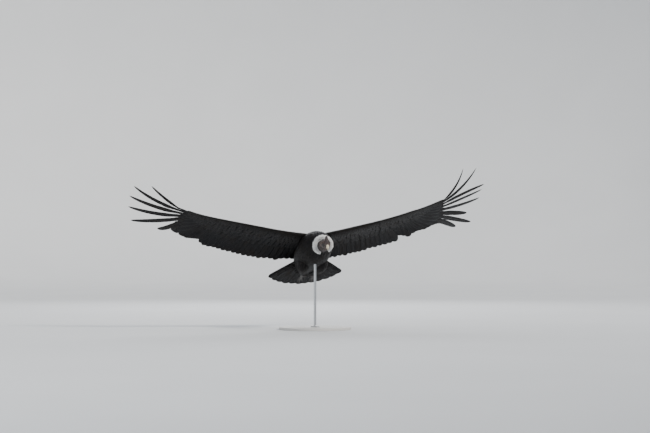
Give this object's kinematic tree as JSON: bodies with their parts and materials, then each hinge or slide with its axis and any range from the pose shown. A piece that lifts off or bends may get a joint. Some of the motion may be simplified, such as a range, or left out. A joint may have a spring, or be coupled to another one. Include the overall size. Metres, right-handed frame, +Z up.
{
  "type": "andean condor",
  "caption": "Life-size still model of a male Andean condor gliding with spread, upswept wings and a fanned tail, banked nose-up on a plain round base with one rod",
  "frame": {"origin": "centre of the flat underside of the display base, below the rod", "axes": "+X to the bird's left wing, -Y the way the bird faces, +Z up"},
  "size_m": [2.8822, 0.9784, 1.2762],
  "materials": {
    "plumage": "black flight and body feathers with a soft sheen, silver-white panels on the upper wing",
    "down": "white fluffy down",
    "bare_skin": "wrinkled bare skin, dark reddish grey",
    "comb_skin": "lumpy dark comb, satin",
    "horn": "smooth horn, ivory towards the tip",
    "eye": "wet glossy brown eye",
    "leg_scales": "matt grey scaled skin with dark blunt claws",
    "stand_base": "turned board under satin pale grey paint",
    "stand_rod": "fine brushed steel"
  },
  "bodies": {
    "root": {"trunk": "plumage", "tail": "plumage", "thigh_left": "plumage", "thigh_right": "plumage", "wing_left_arm": "plumage", "wing_left_hand": "plumage", "wing_left_secondaries": "plumage", "wing_left_inner_primaries": "plumage", "wing_right_arm": "plumage", "wing_right_hand": "plumage", "wing_right_secondaries": "plumage", "wing_right_inner_primaries": "plumage", "wing_left_primary_1": "plumage", "wing_left_primary_2": "plumage", "wing_left_primary_3": "plumage", "wing_left_primary_4": "plumage", "wing_left_primary_5": "plumage", "wing_left_primary_6": "plumage", "wing_left_primary_7": "plumage", "wing_left_primary_8": "plumage", "wing_right_primary_1": "plumage", "wing_right_primary_2": "plumage", "wing_right_primary_3": "plumage", "wing_right_primary_4": "plumage", "wing_right_primary_5": "plumage", "wing_right_primary_6": "plumage", "wing_right_primary_7": "plumage", "ruff": "down", "neck": "bare_skin", "head": "bare_skin", "comb": "comb_skin", "bill_upper": "horn", "bill_lower": "horn", "eye_left": "eye", "eye_right": "eye", "foot_left": "leg_scales", "foot_right": "leg_scales", "stand_base": "stand_base", "stand_rod": "stand_rod"}
  },
  "joints": []
}
